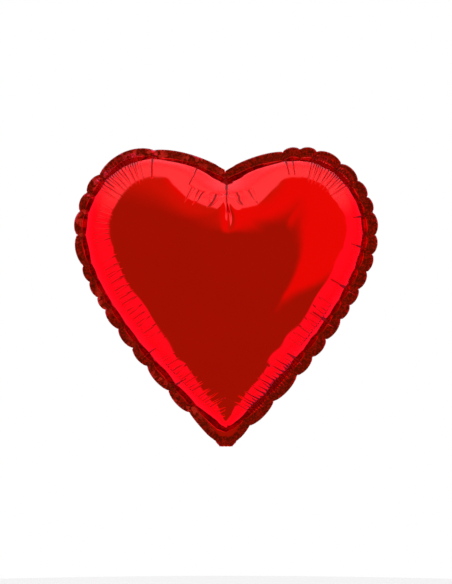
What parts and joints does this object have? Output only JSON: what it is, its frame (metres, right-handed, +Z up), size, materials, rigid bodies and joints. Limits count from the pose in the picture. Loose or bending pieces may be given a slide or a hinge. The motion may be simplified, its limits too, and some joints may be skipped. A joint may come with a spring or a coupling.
{
  "type": "foil balloon",
  "caption": "Inflated heart-shaped foil balloon with a sealed scalloped edge, a self-closing film valve and a filling tail that folds at the neck.",
  "frame": {"origin": "middle of the crease at the neck, below the heart's tip, where a ribbon is tied and the tail folds", "axes": "+X to the right seen from the front, +Z up from the tip to the lobes, the front panel faces -Y"},
  "size_m": [0.3798, 0.19, 0.3761],
  "materials": {
    "red_foil": "polished",
    "seal_layer": "satin",
    "valve_film": "satin"
  },
  "bodies": {
    "balloon": {"front_panel": "red_foil", "back_panel": "red_foil", "edge_seal": "seal_layer", "valve_film_front": "valve_film", "valve_film_back": "valve_film"},
    "tail": {"tail_front_ply": "red_foil", "tail_back_ply": "red_foil", "tail_seal_left": "seal_layer", "tail_seal_right": "seal_layer", "tail_valve_film_front": "valve_film", "tail_valve_film_back": "valve_film"}
  },
  "joints": [
    {"name": "tail_fold", "type": "hinge", "parent": "balloon", "child": "tail", "pos_m": [0, 0, 0], "axis": [-1, 0, 0], "range_deg": [0, 120]}
  ]
}
